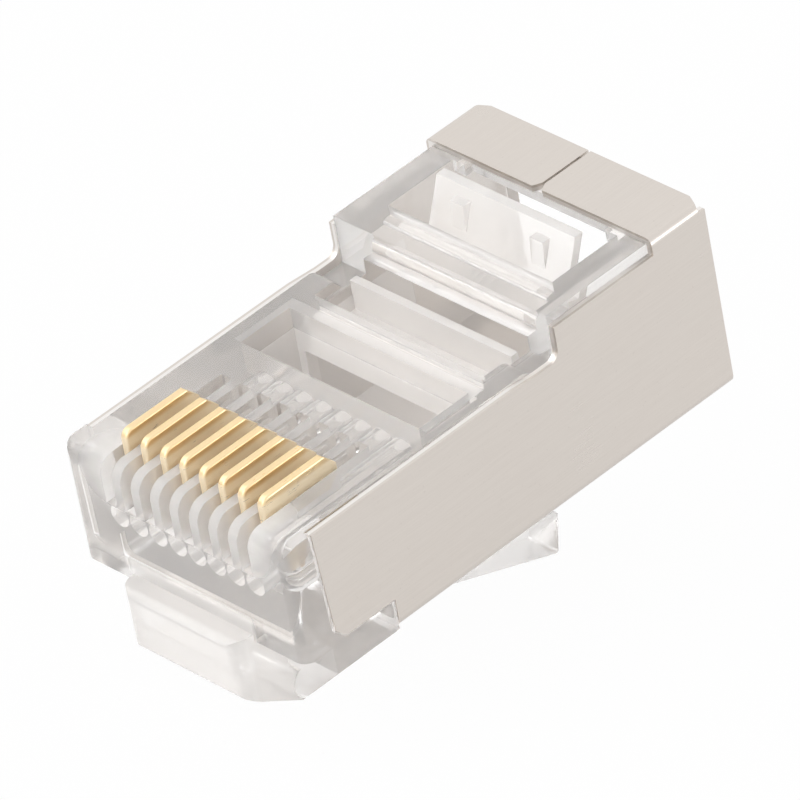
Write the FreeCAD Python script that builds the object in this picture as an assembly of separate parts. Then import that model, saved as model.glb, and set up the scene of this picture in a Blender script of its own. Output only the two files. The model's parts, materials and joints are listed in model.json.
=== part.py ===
"""Shielded eight-way modular plug, uncrimped, lying on its latch.

Every piece is drawn in the plug's own directions: X across, Y from the nose to the cable end,
Z from the latch side (0) to the contact side, with Y = 0 on the nose's end face. The last step
tips the whole plug until the latch touches the floor at its root and at its tip.
"""
import FreeCAD
import Part
import math
import os

# ---- overall sizes, mm ----
body_width = 11.68            # across the nose and across the shell
body_length = 21.8            # nose face to the shell's rear edge
nose_height = 6.25            # contact-side surface of the nose
rear_height = 7.9             # contact-side surface behind the groove
nose_length = 11.5            # nose face to the groove
groove_length = 2.4           # groove over the conductor clamp, along Y
crossbar_length = 1.6         # bar between the groove and the well, along Y
well_length = 3.7             # opening over the jacket clamp, along Y
rear_recess = 0.2             # moulding's end face, inside the shell's rear edge

# ---- nose ----
lip_height = 1.15             # latch-side surface of the nose, above the body's
lip_length = 1.3              # how far back that raised surface runs
nose_top_radius = 0.7
nose_side_radius = 0.5
rail_width = 1.1              # rails that end the nose's sides
rail_reach = 1.3              # how far they run past the nose's top
rail_radius = 0.55
groove_wall_drop = 0.45       # groove's side walls below the nose's surface

# ---- contacts ----
contact_count = 8
contact_pitch = 1.016
blade_thickness = 0.35
blade_front = 1.1             # blade's front edge behind the nose face
blade_length = 3.6
pierce_depth = 0.4            # pressed prongs' tips below the channels' axes
blade_proud = 0.75            # flat top above the nose before crimping
blade_nose_radius = 0.4
blade_edge_radius = 0.1       # coined edges along the blade's top
blade_tail_chamfer = 0.55
prong_count = 3
prong_height = 1.0
prong_foot = 0.9              # prong's length along the blade where it starts
prong_tip = 0.16
blade_side_gap = 0.015        # blade to slot, each side
blade_end_gap = 0.04          # blade to slot, front and rear
crimp_travel = 0.9            # how far a blade is pressed in

# ---- comb of slots and wire channels ----
comb_slot_width = 0.56
comb_length = 6.2             # slots' rear end behind the nose face
comb_depth = 1.0
comb_front_depth = 1.85       # deeper part in front of the blades
channel_radius = 0.47
channel_height = 3.75         # channels' axes above the latch side
channel_front_wall = 0.6

# ---- wire bay and cable cavity ----
bay_front = 7.95              # front wall of the open bay behind the comb
bay_wall = 0.87               # bay to the shell's side
bay_floor_run = 4.4           # length over which the floor falls to the cavity's
bridge_length = 1.05          # bridge between the bay and the groove, along Y
bridge_height = 1.8
crossbar_height = 1.45
cavity_wall = 1.26
cavity_floor = 1.1
rear_beam_height = 0.5        # beam over the cable mouth
rear_beam_end = (0.62, 0.35)  # its thicker ends, across and along
mouth_chamfer = 0.25

# ---- shell ----
sheet = 0.28
shell_fit = 0.04              # sheet to moulding
shell_front_top = 1.35        # shell's front edge behind the nose face, at its top
shell_front_lean = 0.25       # how much further back its lower end is
ear_bottom = 1.3              # lower edge of the shell's front ears
ear_length_end = 4.48         # where the shell's floor starts
ear_corner_radius = 0.45
shell_top_step = 0.05         # front ears below the nose's surface
shell_dip = 0.1               # further drop beside the groove
shell_rear_drop = 0.4         # side edges below the rear surface
shell_step_radius = 0.45
shell_floor_radius = 0.4
strap_overlap = 0.15          # how far the top tabs reach over the well
strap_bend_radius = 0.3
strap_fit = 0.02
seam_gap = 0.12
seam_mouth_gap = 0.5
seam_mouth_length = 0.35
strap_corner = (0.7, 0.35)    # cut at each rear corner, across and along

# ---- latch ----
latch_width = 6.26            # root and shoulders
lever_width = 3.2
root_front = -0.85            # root stands in front of the nose face
root_front_bottom = -1.1
root_rise = 0.3               # root's top above the nose's latch side
root_corner_radius = 0.7      # its upright front corners
root_edge_radius = 0.4        # its lower front edge
root_top_radius = 0.3
hinge_y = 2.0
hinge_z = -1.95
hinge_radius = 0.65           # thickness of the latch is twice this
hinge_gap = 0.05
shoulder_end = 6.4
lever_start = 7.2
tip_y = 15.52
tip_z = -5.54
tip_radius = 0.12
tip_thickness = 1.6
tip_lean = 0.3                # end face's top behind its foot

# ---- both clamps ----
clamp_gap = 0.06              # clamps to the moulding, each side
clamp_hinge_inset = 0.05      # hinge axis inside the wall that carries it
clamp_hinge_rise = 0.15       # and above that wall's lower edge
clamp_hinge_radius = 0.3
web_thickness = 0.4

# ---- conductor clamp, in the groove ----
conductor_plate_setback = 1.55  # plate behind the nose's rear face
conductor_plate_drop = 0.2    # plate's top below the nose's surface
conductor_plate_thickness = 0.35
conductor_web_drop = 1.5      # web's upper face at the plate, below the nose's surface

# ---- jacket clamp, in the well ----
jacket_side_gap = 0.68
jacket_plate_foot = 1.1       # plate's lower end behind the crossbar
jacket_fold = (1.4, 0.8)      # behind the crossbar, and below the rear surface
jacket_top = (1.96, 0.5)      # behind the crossbar, and above the rear surface
jacket_plate_thickness = 0.4
jacket_heel_drop = 0.75       # lower corner that bites the jacket, below the plate's end
peg_spacing = 4.1
peg_width = 0.7
peg_depth = 0.42
peg_rise = 0.1                # pegs' tops above the rear surface
peg_height = 1.1

# ---- worked out from the above ----
half_width = body_width / 2
core_half_width = half_width - sheet - shell_fit
crossbar_front = nose_length + groove_length
well_front = crossbar_front + crossbar_length
well_rear = well_front + well_length
moulding_end = body_length - rear_recess
bay_rear = nose_length - bridge_length
bay_half_width = core_half_width - bay_wall
cavity_half_width = core_half_width - cavity_wall
bridge_bottom = nose_height - bridge_height
crossbar_bottom = rear_height - crossbar_height
mouth_roof = rear_height - rear_beam_height
strap_under = rear_height + strap_fit
strap_top = strap_under + sheet
strap_front = well_rear - strap_overlap
blade_top = nose_height + blade_proud
blade_rear = blade_front + blade_length
prong_low = channel_height - pierce_depth + crimp_travel
blade_foot = prong_low + prong_height
REACH = 40.0                  # longer than the plug: for cuts that run right through
ACROSS = FreeCAD.Vector(1, 0, 0)


def block(x, y, z):
    """Box between pairs of limits."""
    size = (x[1] - x[0], y[1] - y[0], z[1] - z[0])
    return Part.makeBox(*size, FreeCAD.Vector(x[0], y[0], z[0]))


def side_prism(outline, half, centre=0.0):
    """Extrudes a closed outline of (y, z) points across X."""
    points = [FreeCAD.Vector(centre - half, y, z) for y, z in outline]
    face = Part.Face(Part.makePolygon(points + points[:1]))
    return face.extrude(ACROSS * (2 * half))


def plan_prism(outline, z):
    """Extrudes a closed outline of (x, y) points up Z."""
    points = [FreeCAD.Vector(x, y, z[0]) for x, y in outline]
    face = Part.Face(Part.makePolygon(points + points[:1]))
    return face.extrude(FreeCAD.Vector(0, 0, z[1] - z[0]))


def rod(y, z, radius, half):
    """Cylinder along X."""
    return Part.makeCylinder(radius, 2 * half, FreeCAD.Vector(-half, y, z), ACROSS)


def edges_at(shape, test):
    """Edges whose two ends both pass a test."""
    return [e for e in shape.Edges if len(e.Vertexes) == 2 and all(test(v.Point) for v in e.Vertexes)]


def near(a, b):
    return abs(a - b) < 1e-4


def along_y(edges):
    return [e for e in edges if near(e.BoundBox.XLength, 0) and near(e.BoundBox.ZLength, 0)]


def contact_x(index):
    return (index - (contact_count - 1) / 2) * contact_pitch


# ---- housing ----

def body_outline(front_end):
    """Side view of the moulding, without its hollows."""
    floor = sheet + shell_fit
    groove_top = nose_height - groove_wall_drop
    return [
        (0, lip_height), (0, nose_height), (nose_length, nose_height),
        (nose_length, groove_top), (crossbar_front, groove_top), (crossbar_front, rear_height),
        (moulding_end, rear_height), (moulding_end, floor), (front_end, floor),
        (front_end, 0), (lip_length, 0), (lip_length, lip_height),
    ]


def front_zone():
    """Where the moulding is as wide as the shell: the nose and the corners under the ears."""
    back_top = shell_front_top - shell_fit
    back_low = back_top + shell_front_lean
    ledge = ear_bottom - shell_fit
    end = ear_length_end - shell_fit
    return side_prism([
        (-1, -1), (-1, nose_height + 1), (back_top, nose_height + 1), (back_top, nose_height),
        (back_low, ledge + ear_corner_radius), (back_low + ear_corner_radius, ledge),
        (end, ledge), (end, -1),
    ], half_width)


def rounded_front(half, front, radius):
    """Tall block whose two upright edges at the front are rounded."""
    upright = block((-half, half), (front, REACH), (-REACH, REACH))
    corners = edges_at(upright, lambda p: near(p.y, front))
    corners = [e for e in corners if e.BoundBox.ZLength > REACH]
    return upright.makeFillet(radius, corners)


def moulded_body():
    full = side_prism(body_outline(ear_length_end - shell_fit), half_width)
    top = edges_at(full, lambda p: near(p.y, 0) and near(p.z, nose_height))
    full = full.makeFillet(nose_top_radius, top)
    full = full.common(rounded_front(half_width, 0, nose_side_radius))
    floor = sheet + shell_fit
    inside = block((-core_half_width, core_half_width), (-1, REACH), (floor, REACH))
    low = along_y(edges_at(inside, lambda p: near(p.z, floor)))
    core = full.common(inside.makeFillet(shell_floor_radius, low))
    return core.fuse(full.common(front_zone()))


def rails():
    """Rounded ends of the nose's side rails, reaching over the groove."""
    end = nose_length + rail_reach
    low = nose_height - 2 * rail_radius
    pieces = []
    for side in (-1, 1):
        x = sorted((side * (core_half_width - rail_width), side * core_half_width))
        rail = block(x, (nose_length - rail_radius, end - rail_radius), (low, nose_height))
        centre = FreeCAD.Vector(x[0], end - rail_radius, low + rail_radius)
        pieces.append(rail.fuse(Part.makeCylinder(rail_radius, rail_width, centre, ACROSS)))
    return pieces


def latch_root():
    """Fixed root of the latch: down from the nose, then back to the hinge."""
    half = latch_width / 2
    bottom = hinge_z - hinge_radius
    inner_top = hinge_z + hinge_radius
    top = lip_height + root_rise
    outline = [
        (root_front, top), (root_front, root_front_bottom),
        (hinge_y - 0.4, bottom), (hinge_y, bottom), (hinge_y, inner_top),
        (hinge_y - 0.35, inner_top), (lip_length, inner_top + 0.45), (lip_length, top),
    ]
    root = side_prism(outline, half)
    low = edges_at(root, lambda p: near(p.y, root_front) and near(p.z, root_front_bottom))
    root = root.makeFillet(root_edge_radius, low)
    high = edges_at(root, lambda p: near(p.y, root_front) and near(p.z, top))
    root = root.makeFillet(root_top_radius, high)
    root = root.common(rounded_front(half, root_front, root_corner_radius))
    seat = rod(hinge_y, hinge_z, hinge_radius + hinge_gap, half)
    behind = block((-half, half), (hinge_y, REACH), (-REACH, 0))
    return root.cut(seat).cut(behind)


def wire_bay():
    """Bay behind the comb, open at the top, where the eight wires are spread."""
    bottom = channel_height - channel_radius
    fall = (bottom - cavity_floor) / bay_floor_run
    rear_floor = bottom - fall * (bay_rear - bay_front)
    return side_prism([
        (bay_front, bottom), (bay_front, REACH), (bay_rear, REACH), (bay_rear, rear_floor),
    ], bay_half_width)


def cable_cavity():
    """Room for the cable: under the bridge and the crossbar, open at the groove, the well and the rear."""
    bottom = channel_height - channel_radius
    return side_prism([
        (bay_front, bottom), (bay_front, bridge_bottom), (nose_length, bridge_bottom),
        (nose_length, REACH), (crossbar_front, REACH), (crossbar_front, crossbar_bottom),
        (well_front, crossbar_bottom), (well_front, REACH), (well_rear, REACH),
        (well_rear, mouth_roof), (moulding_end - mouth_chamfer, mouth_roof),
        (moulding_end, mouth_roof + mouth_chamfer), (REACH, mouth_roof + mouth_chamfer),
        (REACH, cavity_floor), (bay_front + bay_floor_run, cavity_floor),
    ], cavity_half_width)


def rear_beam_ends():
    """Thicker ends of the beam over the cable mouth."""
    across, along = rear_beam_end
    ends = []
    for side in (-1, 1):
        x = sorted((side * (cavity_half_width - across), side * (cavity_half_width + 0.1)))
        ends.append(block(x, (well_rear - along, well_rear + 0.1), (mouth_roof, rear_height)))
    return ends


def clamp_hinge(wall, wall_bottom):
    """Axis of a clamp's hinge in the rear lower edge of the wall that carries it."""
    return wall - clamp_hinge_inset, wall_bottom + clamp_hinge_rise


def clamp_seats():
    """Hollows for the hinges of both clamps."""
    radius = clamp_hinge_radius + hinge_gap
    seats = []
    for wall, bottom in ((nose_length, bridge_bottom), (well_front, crossbar_bottom)):
        y, z = clamp_hinge(wall, bottom)
        seats.append(rod(y, z, radius, cavity_half_width))
    return seats


def comb_slot(x):
    """Open slot for one contact, with the blade's seat and the wire channel under it."""
    half = comb_slot_width / 2
    floor = nose_height - comb_depth
    slot = block((x - half, x + half), (-1, comb_length), (floor, REACH))
    front_y = (-1, blade_front - blade_end_gap)
    front = block((x - half, x + half), front_y, (nose_height - comb_front_depth, REACH))
    seat_half = blade_thickness / 2 + blade_side_gap
    seat_y = (blade_front - blade_end_gap, blade_rear + blade_end_gap)
    seat = block((x - seat_half, x + seat_half), seat_y, (channel_height, floor + 0.01))
    length = bay_front + 0.1 - channel_front_wall
    start = FreeCAD.Vector(x, channel_front_wall, channel_height)
    channel = Part.makeCylinder(channel_radius, length, start, FreeCAD.Vector(0, 1, 0))
    return [slot, front, seat, channel]


def housing():
    body = moulded_body().fuse(rails() + [latch_root()])
    cuts = [wire_bay(), cable_cavity()] + clamp_seats()
    for index in range(contact_count):
        cuts += comb_slot(contact_x(index))
    return body.cut(cuts).fuse(rear_beam_ends()).removeSplitter()


# ---- moving pieces of the moulding ----

def latch():
    """Arm with shoulders, then a narrower lever that slopes away to its tip."""
    half = latch_width / 2
    bottom = hinge_z - hinge_radius
    top = hinge_z + hinge_radius
    barrel = rod(hinge_y, hinge_z, hinge_radius, half)
    arm = side_prism([(hinge_y, bottom), (hinge_y, top), (shoulder_end, top), (shoulder_end, bottom)], half)
    tip_bottom = tip_z - tip_radius
    tip_end = tip_y + tip_radius
    lever = side_prism([
        (lever_start, bottom), (tip_y, tip_bottom), (tip_end, tip_bottom),
        (tip_end + tip_lean, tip_bottom + tip_thickness), (lever_start + 0.3, top), (lever_start - 1, top),
        (lever_start - 1, bottom),
    ], lever_width / 2)
    corner = edges_at(lever, lambda p: near(p.y, tip_end) and near(p.z, tip_bottom))
    lever = lever.makeFillet(tip_radius * 0.8, corner)
    return barrel.fuse([arm, lever]).removeSplitter()


def conductor_clamp():
    """Web and upright plate in the groove, pressed down onto the conductors."""
    half = cavity_half_width - clamp_gap
    y, z = clamp_hinge(nose_length, bridge_bottom)
    front = nose_length + conductor_plate_setback
    rear = front + conductor_plate_thickness
    top = nose_height - conductor_plate_drop
    web_top = nose_height - conductor_web_drop
    plate = side_prism([
        (y, z + web_thickness / 2), (front, web_top), (front, top), (rear, top),
        (rear, web_top - web_thickness), (y, z - web_thickness / 2),
    ], half)
    return plate.fuse(rod(y, z, clamp_hinge_radius, half)).removeSplitter()


def jacket_clamp():
    """Web and leaning plate with two pegs, pressed down onto the cable's jacket."""
    half = cavity_half_width - jacket_side_gap
    y, z = clamp_hinge(well_front, crossbar_bottom)
    foot = (well_front + jacket_plate_foot, crossbar_bottom)
    fold = (well_front + jacket_fold[0], rear_height - jacket_fold[1])
    top = (well_front + jacket_top[0], rear_height + jacket_top[1])
    thick = jacket_plate_thickness
    body = side_prism([
        (y, z + web_thickness / 2), foot, fold, top, (top[0] + thick, top[1]),
        (fold[0] + thick, fold[1]), (foot[0] + thick, foot[1]), (foot[0], foot[1] - jacket_heel_drop),
        (y, z - web_thickness / 2),
    ], half)
    peg_top = rear_height + peg_rise
    peg_bottom = peg_top - peg_height
    front = fold[0]
    pegs = []
    for side in (-1, 1):
        pegs.append(side_prism([
            (front - peg_depth / 4, peg_bottom), (front, peg_top), (front + peg_depth, peg_top),
            (fold[0] + thick / 2, peg_bottom),
        ], peg_width / 2, side * peg_spacing / 2))
    return body.fuse([rod(y, z, clamp_hinge_radius, half)] + pegs).removeSplitter()


# ---- metal pieces ----

def shell_outline():
    """Side view of the shell's sheet: ear, dip beside the groove, step up, rear."""
    low_front = shell_front_top + shell_front_lean
    top = nose_height - shell_top_step
    dip = top - shell_dip
    rear_edge = rear_height - shell_rear_drop
    r = ear_corner_radius
    return [
        (shell_front_top, top), (low_front, ear_bottom + r), (low_front + r, ear_bottom),
        (ear_length_end, ear_bottom), (ear_length_end, 0), (body_length, 0),
        (body_length, strap_top), (strap_front, strap_top), (strap_front, rear_edge),
        (crossbar_front, rear_edge), (crossbar_front, dip), (nose_length + rail_reach, dip),
        (nose_length, top),
    ]


def shield_shell():
    """Folded sheet: floor, two sides and two tabs that meet over the cable end."""
    outer = side_prism(shell_outline(), half_width)
    dip = nose_height - shell_top_step - shell_dip
    corner = edges_at(outer, lambda p: near(p.y, crossbar_front) and near(p.z, dip))
    outer = outer.makeFillet(shell_step_radius, corner)
    low = along_y(e for e in outer.Edges if near(e.BoundBox.ZMax, 0))
    outer = outer.makeFillet(shell_floor_radius, low)
    bend = along_y(e for e in outer.Edges if near(e.BoundBox.ZMax, strap_top))
    outer = outer.makeFillet(strap_bend_radius, bend)
    inner_half = half_width - sheet
    inner = block((-inner_half, inner_half), (-1, REACH), (sheet, strap_under))
    low_inside = along_y(e for e in inner.Edges if near(e.BoundBox.ZMax, sheet))
    inner = inner.makeFillet(shell_floor_radius - sheet / 2, low_inside)
    shell = outer.cut(inner)
    seam = seam_cut()
    return shell.cut([seam] + strap_corner_cuts())


def seam_cut():
    """Seam between the tabs, wider where their front corners are cut off."""
    g, m = seam_gap / 2, seam_mouth_gap / 2
    mouth = strap_front + seam_mouth_length
    return plan_prism([
        (-m, strap_front - 1), (-m, strap_front), (-g, mouth), (-g, REACH),
        (g, REACH), (g, mouth), (m, strap_front), (m, strap_front - 1),
    ], (strap_under - 0.01, REACH))


def strap_corner_cuts():
    across, along = strap_corner
    cuts = []
    for side in (-1, 1):
        cuts.append(plan_prism([
            (side * (half_width - across), body_length), (side * half_width, body_length - along),
            (side * (half_width + 1), body_length - along), (side * (half_width + 1), body_length + 1),
            (side * (half_width - across), body_length + 1),
        ], (strap_under - 0.01, REACH)))
    return cuts


def prong(x, start):
    """One piercing prong under a blade, from its foot down to a narrow tip."""
    middle = start + prong_foot / 2
    root = blade_foot + 0.1
    return side_prism([
        (start, root), (start, blade_foot), (middle - prong_tip / 2, prong_low),
        (middle + prong_tip / 2, prong_low), (start + prong_foot, blade_foot), (start + prong_foot, root),
    ], blade_thickness / 2, x)


def contact(index):
    """Blade with a rounded leading corner, a sloped tail and piercing prongs."""
    x = contact_x(index)
    blade = side_prism([
        (blade_front, blade_foot), (blade_front, blade_top), (blade_rear - blade_tail_chamfer, blade_top),
        (blade_rear, blade_top - blade_tail_chamfer), (blade_rear, blade_foot),
    ], blade_thickness / 2, x)
    lead = edges_at(blade, lambda p: near(p.y, blade_front) and near(p.z, blade_top))
    blade = blade.makeFillet(blade_nose_radius, lead)
    blade = blade.makeFillet(blade_edge_radius, along_y(edges_at(blade, lambda p: near(p.z, blade_top))))
    spacing = (blade_length - prong_foot) / (prong_count - 1)
    prongs = [prong(x, blade_front + step * spacing) for step in range(prong_count)]
    return blade.fuse(prongs).removeSplitter()


# ---- the plug as it lies ----

def rest_tilt():
    """Angle at which the floor touches both the hinge's barrel and the lever's tip, degrees."""
    run = tip_y - hinge_y
    drop = hinge_z - tip_z
    turn = math.asin((hinge_radius - tip_radius) / math.hypot(run, drop))
    return math.degrees(math.atan2(drop, run) - turn)


def lay_down(shapes):
    """Tips the pieces onto the latch and centres them over the origin, with the floor at Z = 0."""
    tilt = rest_tilt()
    for shape in shapes.values():
        shape.rotate(FreeCAD.Vector(0, 0, 0), ACROSS, tilt)
    box = Part.makeCompound(list(shapes.values())).BoundBox
    move = FreeCAD.Vector(0, -(box.YMin + box.YMax) / 2, -box.ZMin)
    for shape in shapes.values():
        shape.translate(move)
    return tilt, move


def build():
    shapes = {
        "housing": housing(),
        "latch": latch(),
        "conductor_clamp": conductor_clamp(),
        "jacket_clamp": jacket_clamp(),
        "shield_shell": shield_shell(),
    }
    for index in range(contact_count):
        shapes[f"contact_{index + 1}"] = contact(index)
    return shapes


if __name__ == "__main__":
    pieces = build()
    tilt, move = lay_down(pieces)
    os.makedirs("parts", exist_ok=True)
    for name, shape in pieces.items():
        shape.exportStep(f"parts/{name}.step")
        print(name, "solids", len(shape.Solids), "valid", shape.isValid(), "volume", round(shape.Volume, 2))
    print("tilt", round(tilt, 3), "move", round(move.y, 3), round(move.z, 3))
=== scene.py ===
# %% [markdown]
# # A shielded modular plug in clear plastic, nickel and gold
# This plug ends a shielded network cable. It is a clear moulding with a latch and two clamps, a folded metal
# shell round it and eight contact blades. The solid model arrives finished in shape. The same forms could be
# modelled again in Blender, but two models of one object drift apart, so this script only gives each solid
# its finish, sets a pale studio round it and points a camera at it. The first cell loads the solids and keeps
# the box they fill.

# %% Load the solid model
import json
import math
from collections import namedtuple

import bmesh
import bpy
from mathutils import Matrix, Vector


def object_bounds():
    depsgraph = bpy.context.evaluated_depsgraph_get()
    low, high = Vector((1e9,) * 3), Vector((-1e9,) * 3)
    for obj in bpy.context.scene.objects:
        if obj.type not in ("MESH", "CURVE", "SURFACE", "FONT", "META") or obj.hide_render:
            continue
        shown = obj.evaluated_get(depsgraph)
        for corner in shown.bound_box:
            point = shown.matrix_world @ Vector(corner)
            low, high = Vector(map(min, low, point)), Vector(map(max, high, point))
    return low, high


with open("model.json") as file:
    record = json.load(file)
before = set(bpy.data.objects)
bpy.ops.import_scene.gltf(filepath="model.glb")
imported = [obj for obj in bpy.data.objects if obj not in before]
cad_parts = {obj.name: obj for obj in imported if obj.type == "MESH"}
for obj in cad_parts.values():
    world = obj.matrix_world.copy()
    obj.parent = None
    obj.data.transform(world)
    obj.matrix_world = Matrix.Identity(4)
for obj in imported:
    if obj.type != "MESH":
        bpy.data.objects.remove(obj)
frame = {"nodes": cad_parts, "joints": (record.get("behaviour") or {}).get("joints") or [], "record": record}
cad_box = [list(corner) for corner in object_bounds()]
low, high = (Vector(corner) for corner in cad_box)
MM = 0.001
print("box of the solids, mm:", [round(side / MM, 2) for side in high - low])

# %% [markdown]
# The plug rests on its latch, so everything that runs along it slopes. The slope could be typed in as an
# angle, but then it would be wrong as soon as the latch changed. It is read from the record instead: the
# blades press straight into the moulding, so the direction of their travel is the plug's own downward.
# Patterns such as the grain of the sheet are turned by this angle to follow the plug. One helper gives a
# solid's box along the plug's own axes, so that a finish can change from one part of a solid to another.

# %% How far the plug leans back
press = next(joint for joint in frame["joints"] if joint["name"] == "blade_1_press")
down = Vector(press["axis"])
lean = math.atan2(down.y, -down.z)


def plug_box(node):
    """Lowest and highest corner of a solid, in millimetres along the leaning plug's own axes."""
    level = Matrix.Rotation(-lean, 3, "X")
    points = [level @ vertex.co / MM for vertex in frame["nodes"][node].data.vertices]
    lowest = Vector([min(point[axis] for point in points) for axis in range(3)])
    highest = Vector([max(point[axis] for point in points) for axis in range(3)])
    return lowest, highest


print("the plug leans back by", round(math.degrees(lean), 2), "degrees")

# %% [markdown]
# A material in Blender is a graph of nodes. It could be drawn by hand in the node editor, or built with one
# call for each node and link, but a long list of calls is hard to read. So one small class wraps a socket
# and lets numbers be added and multiplied with plain Python operators: each operator adds a Math node and
# hands back its output. Every other node comes from one method, which sets the node's settings first and
# then the values or links of its sockets. The light of the room is a graph too and uses the same class.

# %% Write shader maths as Python
class Value:
    """An output socket that can be used in sums."""

    def __init__(self, graph, socket):
        self.graph = graph
        self.socket = socket

    def __add__(self, other):
        return self.graph.maths("ADD", self, other)

    __radd__ = __add__

    def __mul__(self, other):
        return self.graph.maths("MULTIPLY", self, other)

    __rmul__ = __mul__


class Graph:
    """A tree of shader nodes under construction."""

    def __init__(self, tree):
        self.tree = tree

    def node(self, kind, settings=None, sockets=None, output=0):
        """Adds a node, sets it up and hands back one of its outputs."""
        made = self.tree.nodes.new(kind)
        for key, value in (settings or {}).items():
            setattr(made, key, value)
        for key, value in (sockets or {}).items():
            self.feed(made.inputs[key], value)
        return Value(self, made.outputs[output])

    def feed(self, socket, value):
        """Links a value to an input socket, or sets the socket to a plain number or colour."""
        if isinstance(value, Value):
            self.tree.links.new(value.socket, socket)
        else:
            socket.default_value = value

    def maths(self, operation, first, second):
        return self.node("ShaderNodeMath", {"operation": operation}, {0: first, 1: second})

    def ray(self, kind):
        """1 for rays of one kind and 0 for all others."""
        return self.node("ShaderNodeLightPath", output=f"Is {kind} Ray")

    def mix_shaders(self, factor, first, second):
        return self.node("ShaderNodeMixShader", None, {0: factor, 1: first, 2: second})


print("numbers in a graph can be added and multiplied")

# %% [markdown]
# Each finish is such a graph round one Principled shader, which can stand for both plastic and metal. What
# changes over a surface starts as a place or as noise. Pictures wrapped round the solids could do the same,
# but they need unwrapping and blur up close, and noise does neither. Places are object coordinates, which
# stay with a solid when it moves. They are counted in millimetres along the plug, so that a pattern's size
# can be compared with the object's.

# %% Finishes and their patterns
# When a Mix node blends colours, these are the numbers of its factor, its two colours and its result.
MIX_FACTOR, MIX_FIRST, MIX_SECOND, MIX_RESULT = 0, 6, 7, 2


class Finish(Graph):
    """A material under construction, with one Principled shader."""

    def __init__(self, name, **fixed):
        self.material = bpy.data.materials.new(name)
        self.material.use_nodes = True
        super().__init__(self.material.node_tree)
        self.shader = self.tree.nodes["Principled BSDF"]
        self.surface(**fixed)

    def surface(self, **sockets):
        """Feeds the Principled shader. An underscore in a name stands for a space."""
        for key, value in sockets.items():
            self.feed(self.shader.inputs[key.replace("_", " ")], value)

    def principled(self):
        return Value(self, self.shader.outputs["BSDF"])

    def end_with(self, shader):
        """Makes a shader the material's last one."""
        self.feed(self.tree.nodes["Material Output"].inputs["Surface"], shader)

    def place(self, squeeze=(1, 1, 1)):
        """Object coordinates in millimetres along the plug. Above 1, a squeeze makes a pattern finer."""
        where = self.node("ShaderNodeTexCoord", output="Object")
        return self.node("ShaderNodeMapping", {"vector_type": "TEXTURE"}, {
            "Vector": where, "Rotation": (lean, 0, 0), "Scale": tuple(MM / factor for factor in squeeze)})

    def parts(self, where):
        """The three coordinates of a place, one by one."""
        return [self.node("ShaderNodeSeparateXYZ", None, {"Vector": where}, output=axis) for axis in "XYZ"]

    def noise(self, where, per_mm, detail=3.0, rough=0.5):
        return self.node("ShaderNodeTexNoise", None, {
            "Vector": where, "Scale": per_mm, "Detail": detail, "Roughness": rough}, output="Fac")

    def stretch(self, value, start, end, to=(0.0, 1.0)):
        """Spreads the values between start and end over a new range."""
        return self.node("ShaderNodeMapRange", {"clamp": True}, {
            "Value": value, "From Min": start, "From Max": end, "To Min": to[0], "To Max": to[1]})

    def within(self, value, start, end, edge=0.02):
        """1 where a value lies between two limits and 0 elsewhere, with a short slope at both."""
        rise = self.stretch(value, start, start + edge)
        fall = self.stretch(value, end - edge, end, to=(1.0, 0.0))
        return rise * fall

    def mix(self, factor, first, second):
        """Blends two colours."""
        return self.node("ShaderNodeMix", {"data_type": "RGBA"}, {
            MIX_FACTOR: factor, MIX_FIRST: first, MIX_SECOND: second}, output=MIX_RESULT)

    def bump(self, height, distance, strength):
        return self.node("ShaderNodeBump", None, {
            "Height": height, "Distance": distance, "Strength": strength})


print("patterns are counted in millimetres and turned by", round(math.degrees(lean), 2), "degrees")

# %% [markdown]
# The moulding, the latch and the clamps are clear polycarbonate with a faint milky haze. Their faces are
# never quite flat: they ripple a little where the plastic shrank, and handling leaves soft dull patches. The
# haze could be a volume inside the plastic, but that renders slowly, so a small share of the surface
# scatters light as if matt. Lamps could not reach the contacts inside through real glass without very long
# renders, so for shadow rays only the plastic is swapped for a transparent shader that dims the light.
#
# Frosted zones add plain white scatter where the plastic is milkier. They come in the next cell.

# %% Clear polycarbonate
# Colours are red, green, blue and opacity, with 1 for all of the light.
CLEAR_TINTS = (1.0, 0.985, 0.972, 1), (0.99, 0.970, 0.955, 1)
FROST = (0.955, 0.935, 0.918, 1)
SHADOW_TINT = (0.99, 0.985, 0.98, 1)


def clear_plastic(name, clear, dullness, frosted=()):
    finish = Finish(name, IOR=1.5, Transmission_Weight=clear)
    where = finish.place()
    tint = finish.mix(finish.noise(where, 0.35, detail=2.0), *CLEAR_TINTS)
    dull = finish.stretch(finish.noise(where, 1.6, detail=4.0, rough=0.6), 0.45, 0.75, to=dullness)
    ripple = finish.bump(finish.noise(where, 0.45, detail=1.0) * 0.6, distance=0.02 * MM, strength=0.3)
    finish.surface(Base_Color=tint, Roughness=dull, Normal=ripple)
    body = finish.principled()
    for zone in frosted:
        body = frost_over(finish, body, zone, where)
    dimmed = finish.node("ShaderNodeBsdfTransparent", None, {"Color": SHADOW_TINT})
    finish.end_with(finish.mix_shaders(finish.ray("Shadow"), body, dimmed))
    return finish.material


def frost_over(finish, body, zone, where):
    """Mixes white scatter into a shader inside one zone."""
    share = zone.share
    for coordinate, limits in zip(finish.parts(where), (zone.across, zone.along, zone.up)):
        share = share * finish.within(coordinate, *limits, zone.edge)
    matt = finish.node("ShaderNodeBsdfDiffuse", None, {"Color": FROST})
    return finish.mix_shaders(share, body, matt)


latch_plastic = clear_plastic("clear_polycarbonate_latch", clear=0.74, dullness=(0.05, 0.15))
clamp_plastic = clear_plastic("clear_polycarbonate_clamps", clear=0.57, dullness=(0.02, 0.06))
print("made", latch_plastic.name, "and", clamp_plastic.name)

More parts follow.
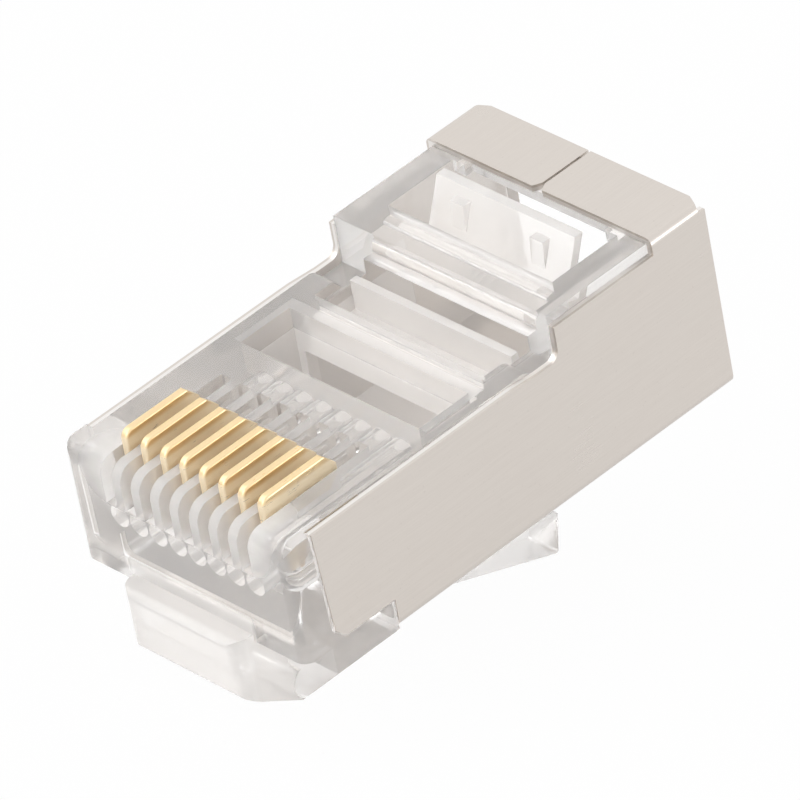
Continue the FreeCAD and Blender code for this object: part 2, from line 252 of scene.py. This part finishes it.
# %% [markdown]
# The moulding is one solid, but it isn't equally clear all over: parts of the mould were left rough, and the
# plastic is frosted there. These parts could be cut off as solids of their own, but the real moulding has no
# seams. So each frosted zone is a box in millimetres along the plug, with its share of white scatter and the
# width of its soft edge. The first is the open bay for the wires, and the second is the floor of the bay and
# of the hollow behind it. The third is the root of the latch under the nose, and the last is the row of fins
# between the contacts. They are measured from the cable's mouth, the corners of the moulding's own box and
# the lowest corner of a blade's.

# %% Frosted zones of the moulding
Zone = namedtuple("Zone", "share edge across along up")

# Lengths and heights in millimetres, which the frame doesn't give
MOUTH_TO_BAY = 13.65
BAY_LENGTH = 3.0
BAY_AND_HOLLOW = 8.0
FLOOR_RISE = 1.1
ROOT_HEIGHT = 4.9

entry = next(mount for mount in frame["record"]["mounts"] if mount["name"] == "cable_entry")
mouth = Vector(entry["pos_m"]).dot(Vector(entry["axis"])) / MM
bay = mouth - MOUTH_TO_BAY
bottom, top = plug_box("housing")
blade_low = plug_box("contact_1")[0]
frosted = {
    "bay": Zone(
        share=0.15, edge=0.02,
        across=(-5.0, 5.0), along=(bay, bay + BAY_LENGTH), up=(bottom.z, top.z)),
    "floor": Zone(
        share=0.50, edge=0.02,
        across=(-5.0, 5.0), along=(bay, bay + BAY_AND_HOLLOW), up=(bottom.z, blade_low.z + FLOOR_RISE)),
    "latch root": Zone(
        share=0.45, edge=0.30,
        across=(-3.4, 3.4), along=(bottom.y - 1.0, blade_low.y + 0.6),
        up=(bottom.z - 1.0, bottom.z + ROOT_HEIGHT)),
    "fins": Zone(
        share=0.38, edge=1.60,
        across=(-5.5, 5.5), along=(blade_low.y - 2.6, blade_low.y + 1.6),
        up=(blade_low.z - 0.4, top.z + 2.0)),
}
plastic = clear_plastic("clear_polycarbonate", clear=0.82, dullness=(0.02, 0.06), frosted=frosted.values())
print("made", plastic.name, "with frosted", ", ".join(frosted))

# %% [markdown]
# The shell is thin sheet with a satin nickel plate. Rolling leaves a very fine grain along the plug, and
# plating and handling leave soft clouds and a few specks in the gloss. The grain could be the Principled
# shader's anisotropy, which needs a tangent on every face. Noise that is squeezed across the plug and
# stretched along it gives the same look on any face. The inside is painted paler, which is painted light:
# it lies in shade, and the paler colour lets it shine through the clear plastic. Whatever lies a little
# below the shell's outer faces counts as inside.

# %% Satin nickel sheet
NICKEL_TINTS = (0.725, 0.675, 0.626, 1), (0.678, 0.628, 0.582, 1)
NICKEL_GRAIN = (0.63, 0.58, 0.535, 1)
NICKEL_SPECK = (0.46, 0.41, 0.37, 1)
# Painted light: a paler colour for the shaded inside of the shell.
NICKEL_INSIDE_PAINTED_LIGHT = (0.86, 0.83, 0.80, 1)
INSIDE_DEPTH = 0.1


def inside_shell(finish, where):
    """1 inside the shell and 0 on its outer faces."""
    lowest, highest = plug_box("shield_shell")
    across, _, up = finish.parts(where)
    between_sides = finish.within(across, lowest.x + INSIDE_DEPTH, highest.x - INSIDE_DEPTH)
    above_floor = finish.within(up, lowest.z + INSIDE_DEPTH, highest.z - INSIDE_DEPTH)
    return between_sides * above_floor


def nickel_sheet():
    finish = Finish("satin_nickel_sheet", Metallic=1.0)
    where = finish.place()
    cloud = finish.noise(where, 0.3)
    grain = finish.noise(finish.place(squeeze=(14.0, 0.5, 14.0)), 1.0, rough=0.6)
    specks = finish.stretch(finish.noise(where, 9.0, detail=2.0), 0.68, 0.78)
    colour = finish.mix(cloud, *NICKEL_TINTS)
    colour = finish.mix(finish.stretch(grain, 0.3, 0.7, to=(0.0, 0.35)), colour, NICKEL_GRAIN)
    colour = finish.mix(specks * 0.25, colour, NICKEL_SPECK)
    # Painted light: the inside of the shell, which lies in shade, is painted paler.
    colour = finish.mix(inside_shell(finish, where), colour, NICKEL_INSIDE_PAINTED_LIGHT)
    rough = finish.stretch(cloud + grain * 0.5, 0.5, 1.0, to=(0.27, 0.40))
    height = grain * 0.7 + finish.noise(where, 0.45, detail=1.0) * 1.2
    relief = finish.bump(height, distance=0.012 * MM, strength=0.5)
    finish.surface(Base_Color=colour, Roughness=rough, Normal=relief)
    return finish.material


nickel = nickel_sheet()
print("made", nickel.name)

# %% [markdown]
# The contact blades are stamped strip with a thin gold plate. Stamping draws fine lines along each blade,
# and the plate is slightly duller in places. The gold is painted deeper along the top edge and paler and
# less metallic on the flanks, which is painted light: the flanks between the blades lie in shade and are
# painted lighter, and the top, which faces the white room, is painted deeper so that it doesn't wash out.
# Two materials could show this if the blade's faces were sorted first. One material that looks at the
# height of each point needs no sorting and gives the change a soft edge.

# %% Gold plate
# Painted light: a paler gold for the shaded flanks and a deeper gold for the lit top edge.
GOLD_FLANK_PAINTED_LIGHT = (1.0, 0.865, 0.64, 1), (0.980, 0.820, 0.575, 1)
GOLD_EDGE_PAINTED_DEEP = (0.975, 0.765, 0.465, 1), (0.930, 0.710, 0.41, 1)
GOLD_LINE = (0.92, 0.75, 0.50, 1)
EDGE_DEPTHS = 0.35, 0.20
FLANK_METAL = 0.4


def gold_plate(blade_top):
    finish = Finish("gold_plated_blade")
    where = finish.place()
    cloud = finish.noise(where, 1.4)
    lines = finish.noise(finish.place(squeeze=(3.0, 0.8, 18.0)), 1.0, rough=0.6)
    start, full = (blade_top - depth for depth in EDGE_DEPTHS)
    edge = finish.stretch(finish.parts(where)[2], start, full)
    # Painted light: paler gold on the shaded flanks, deeper gold on the lit top edge.
    colour = finish.mix(edge, finish.mix(cloud, *GOLD_FLANK_PAINTED_LIGHT), finish.mix(cloud, *GOLD_EDGE_PAINTED_DEEP))
    colour = finish.mix(finish.stretch(lines, 0.45, 0.75, to=(0.0, 0.3)), colour, GOLD_LINE)
    metal = finish.stretch(edge, 0.0, 1.0, to=(FLANK_METAL, 1.0))
    rough = finish.stretch(lines + cloud * 0.4, 0.4, 0.9, to=(0.24, 0.38))
    scratches = finish.bump(lines, distance=0.004 * MM, strength=0.3)
    finish.surface(Base_Color=colour, Metallic=metal, Roughness=rough, Normal=scratches)
    return finish.material


blades = [name for name in frame["nodes"] if name.startswith("contact")]
gold = gold_plate(max(plug_box(name)[1].z for name in blades))
print("made", gold.name, "for", len(blades), "blades")

# %% [markdown]
# Each solid could be given its finish by name. The record already says which material slot each solid takes
# its finish from, so the finishes are handed out by slot and no solid can be missed. The latch and the two
# clamps are thin and look milkier than the moulding, so they take their own versions of the plastic.

# %% Hand out the finishes
by_slot = {"clear_plastic": plastic, "nickel_shell": nickel, "gold_contact": gold}
by_name = {"latch": latch_plastic, "conductor_clamp": clamp_plastic, "jacket_clamp": clamp_plastic}
for part in frame["record"]["subparts"]:
    slots = frame["nodes"][part["node"]].data.materials
    slots.clear()
    slots.append(by_name.get(part["node"], by_slot[part["material_slot"]]))

# %% [markdown]
# The plug lies on a white table in an even, soft light. A white table that is lit like any other object
# comes out grey far from the lamps, and a brighter light would bleach the plug. So the camera and clear
# plastic see the table as nearly plain white, with only a small share of the real shading, which leaves a
# faint shadow. Mirror rays see rather less of the plain white, so that the sheet's upright faces are a little
# darker than its top. The table is made once, large enough to fill any view.

# %% White table
WHITE = (1, 1, 1, 1)
TABLE_HALF = 0.6
PLAIN_SEEN = 0.97
PLAIN_MIRRORED = 0.62


def white_table():
    finish = Finish("white_table", Roughness=0.9, Base_Color=(0.86, 0.86, 0.86, 1))
    seen = finish.maths("MAXIMUM", finish.ray("Camera"), finish.ray("Transmission")) * PLAIN_SEEN
    plain = finish.maths("MAXIMUM", seen, finish.ray("Glossy") * PLAIN_MIRRORED)
    white = finish.node("ShaderNodeEmission", None, {"Color": WHITE, "Strength": 1.0})
    finish.end_with(finish.mix_shaders(plain, finish.principled(), white))
    return finish.material


sheet = bmesh.new()
bmesh.ops.create_grid(sheet, x_segments=1, y_segments=1, size=TABLE_HALF)
table_mesh = bpy.data.meshes.new("table")
sheet.to_mesh(table_mesh)
sheet.free()
table = bpy.data.objects.new("table", table_mesh)
bpy.context.scene.collection.objects.link(table)
table.data.materials.append(white_table())
print("the table is", 2 * TABLE_HALF, "m wide")

# %% [markdown]
# The room is white above and all round, as in a light tent. A picture of a studio could light it too, but a
# plain white room has nothing in it that clear plastic would show bent and doubled. Rays that reach the room
# from the camera, from a mirror or through the plastic see plain white, and matt surfaces get a weaker light
# from it, so that they keep their tone.

# %% Room light
ROOM_STRENGTH = 0.74

world = bpy.data.worlds.new("light_tent")
bpy.context.scene.world = world
world.use_nodes = True
room = world.node_tree.nodes["Background"]
room.inputs["Color"].default_value = WHITE
room.inputs["Strength"].default_value = ROOM_STRENGTH
tent = Graph(world.node_tree)
plain = tent.node("ShaderNodeBackground", None, {"Color": WHITE, "Strength": 1.0})
seen = tent.ray("Camera")
for kind in ("Glossy", "Transmission"):
    seen = tent.maths("MAXIMUM", seen, tent.ray(kind))
shown = tent.mix_shaders(seen, Value(tent, room.outputs["Background"]), plain)
tent.feed(world.node_tree.nodes["World Output"].inputs["Surface"], shown)
print("matt surfaces get", ROOM_STRENGTH, "of the white room's light")

# %% [markdown]
# A white room alone leaves every face equally bright, so four soft lamps add direction. One hangs high on
# the left, one lower beside it, one low behind the right side and one low in front, so that the faces of the
# sheet and the plastic differ in tone. Lamps and camera are set up alike: each hangs at a distance from a
# point and looks at it, from an azimuth counted from the front and an elevation above the table. Typing a
# place and three angles for each would do as well, but then moving one means working them out again.

# %% Soft lamps
LAMP_DISTANCE = 0.5


def hang(name, data, azimuth, elevation, distance, target=Vector((0, 0, 0)), roll=0.0):
    """Places a lamp or a camera by angles in degrees and turns it to look at a target."""
    turn = math.radians(azimuth)
    rise = math.radians(elevation)
    away = Vector((math.sin(turn) * math.cos(rise), -math.cos(turn) * math.cos(rise), math.sin(rise)))
    turned = away.to_track_quat("Z", "Y").to_matrix().to_4x4() @ Matrix.Rotation(math.radians(roll), 4, "Z")
    made = bpy.data.objects.new(name, data)
    made.matrix_world = Matrix.Translation(target + away * distance) @ turned
    bpy.context.scene.collection.objects.link(made)
    return made


def soft_lamp(name, azimuth, elevation, size, watts):
    lamp = bpy.data.lights.new(name, "AREA")
    lamp.shape = "SQUARE"
    lamp.size = size
    lamp.energy = watts
    hang(name, lamp, azimuth, elevation, LAMP_DISTANCE)
    print(name, "at azimuth", azimuth, "elevation", elevation)


soft_lamp("high_lamp", azimuth=-55, elevation=65, size=0.35, watts=0.27)
soft_lamp("left_lamp", azimuth=-40, elevation=35, size=0.30, watts=0.25)
soft_lamp("right_lamp", azimuth=125, elevation=8, size=0.25, watts=0.55)
soft_lamp("front_lamp", azimuth=5, elevation=25, size=0.30, watts=0.58)

# %% [markdown]
# The camera looks down on the nose's right-hand corner. A short lens would make the nose loom and the rear
# shrink, so a long one is used and the plug's parallel edges stay nearly parallel. It looks near the middle
# of the plug, and a small shift of that point centres the plug in the frame.

# %% Camera
AZIMUTH = 46.07
ELEVATION = 27.52
ROLL = 0.18
DISTANCE = 0.38815
LENS = 482.44
AIM_SHIFT = Vector((-0.23, 0.19, 0.5)) * MM

aim = Vector((0, 0, 0.5 * high.z)) + AIM_SHIFT
camera_data = bpy.data.cameras.new("camera")
camera_data.lens = LENS
camera_data.sensor_width = 36.0
camera_data.clip_start = 0.01
camera = hang("camera", camera_data, AZIMUTH, ELEVATION, DISTANCE, aim, ROLL)
bpy.context.scene.camera = camera
bpy.context.scene.view_settings.view_transform = "Standard"
print("camera at", [round(place, 4) for place in camera.matrix_world.translation])

# %% [markdown]
# Light crosses many faces of clear plastic before it gets out again, and every path that is cut short turns
# black. Lighter plastic would hide that and would look wrong everywhere else, so the limits on bounces are
# raised instead.

# %% Bounces of light
BOUNCES = {"max": 24, "diffuse": 16, "glossy": 16, "transmission": 24, "transparent_max": 24}
for kind, limit in BOUNCES.items():
    setattr(bpy.context.scene.cycles, f"{kind}_bounces", limit)
print("bounces:", BOUNCES)
